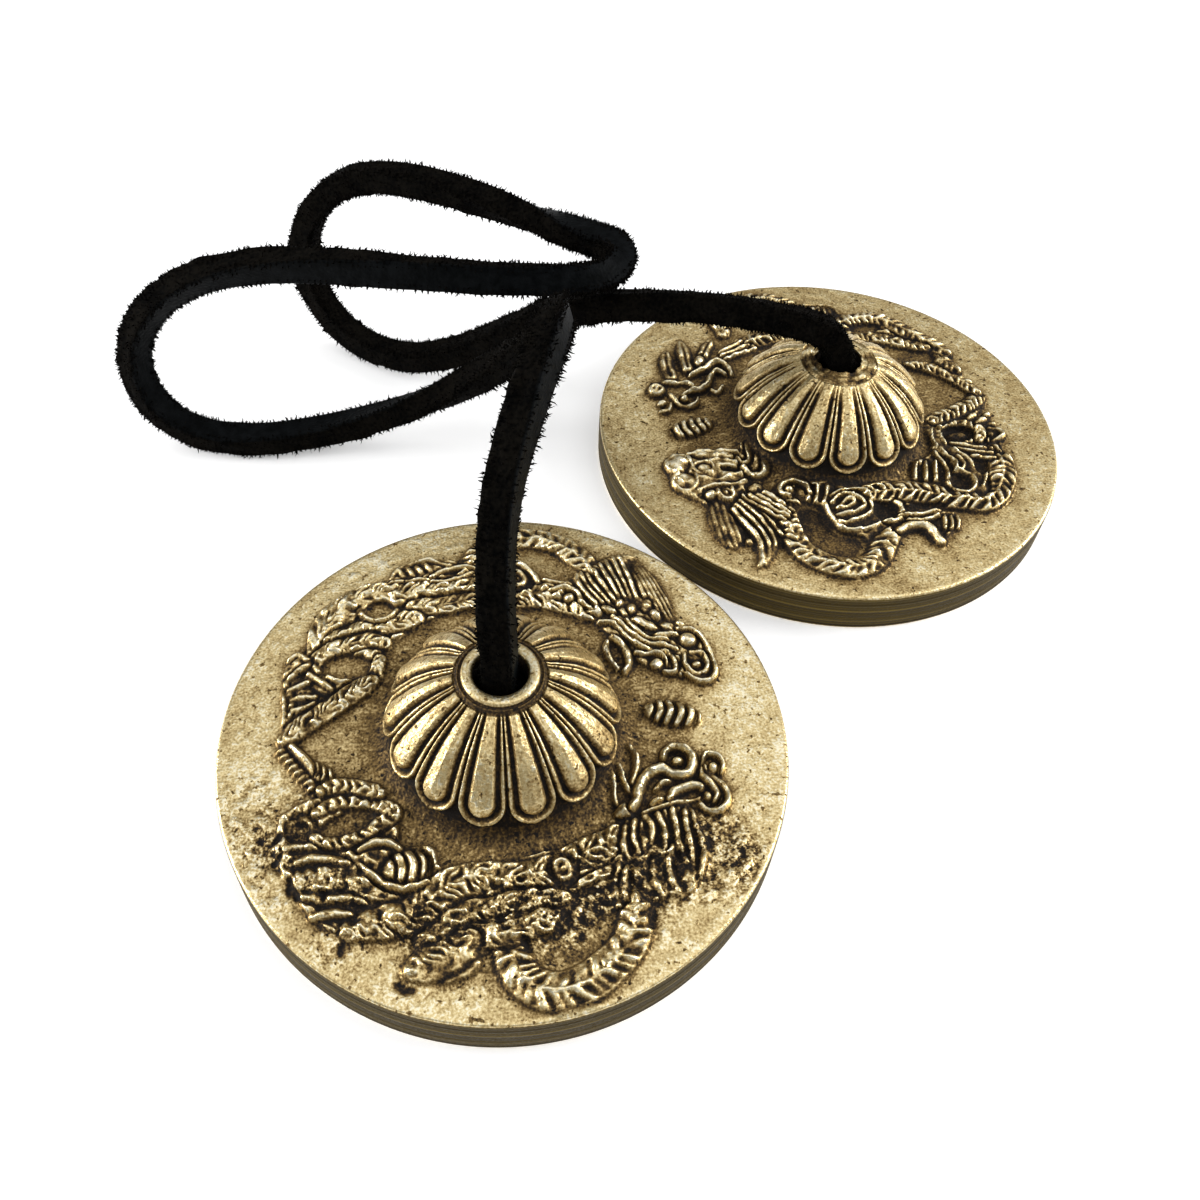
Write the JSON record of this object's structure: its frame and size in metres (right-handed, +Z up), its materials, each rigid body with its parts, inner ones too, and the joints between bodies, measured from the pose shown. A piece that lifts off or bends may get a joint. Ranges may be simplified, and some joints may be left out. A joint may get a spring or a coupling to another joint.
{
  "type": "tingsha cymbals",
  "caption": "Pair of thick cast brass hand cymbals with petalled hollow domes and relief-carved discs, joined by a leather thong knotted inside each dome.",
  "frame": {"origin": "on the table, midway between the centres of the two cymbals as they lie in the picture", "axes": "+X to the right of a viewer who faces +Y, +Y away from that viewer, +Z up along the axes of both cymbals"},
  "size_m": [0.1332, 0.1166, 0.0481],
  "materials": {
    "cast_brass": "aged cast brass, dark patina in the recesses, rubbed bright on the high places",
    "thong_leather": "black leather, one smooth grain face, the other faces rough suede"
  },
  "bodies": {
    "thong": {"thong_front_end": "thong_leather", "thong_loops": "thong_leather", "thong_rear_end": "thong_leather"},
    "front_knot": {"front_knot": "thong_leather"},
    "front_cymbal": {"front_cymbal": "cast_brass"},
    "rear_knot": {"rear_knot": "thong_leather"},
    "rear_cymbal": {"rear_cymbal": "cast_brass"}
  },
  "joints": [
    {"name": "front_rock", "type": "hinge", "parent": "thong", "child": "front_knot", "pos_m": [-0.0227, -0.02585, 0.0168], "axis": [-0.7514, 0.6598, 0], "range_deg": [-20, 20], "deforming": ["thong_front_end"]},
    {"name": "front_spin", "type": "hinge", "parent": "front_knot", "child": "front_cymbal", "pos_m": [-0.0227, -0.02585, 0.0168], "axis": [0, 0, 1], "continuous": true},
    {"name": "rear_rock", "type": "hinge", "parent": "thong", "child": "rear_knot", "pos_m": [0.0227, 0.02585, 0.0168], "axis": [0.6598, 0.7514, 0], "range_deg": [-20, 20], "deforming": ["thong_rear_end"]},
    {"name": "rear_spin", "type": "hinge", "parent": "rear_knot", "child": "rear_cymbal", "pos_m": [0.0227, 0.02585, 0.0168], "axis": [0, 0, 1], "continuous": true}
  ]
}
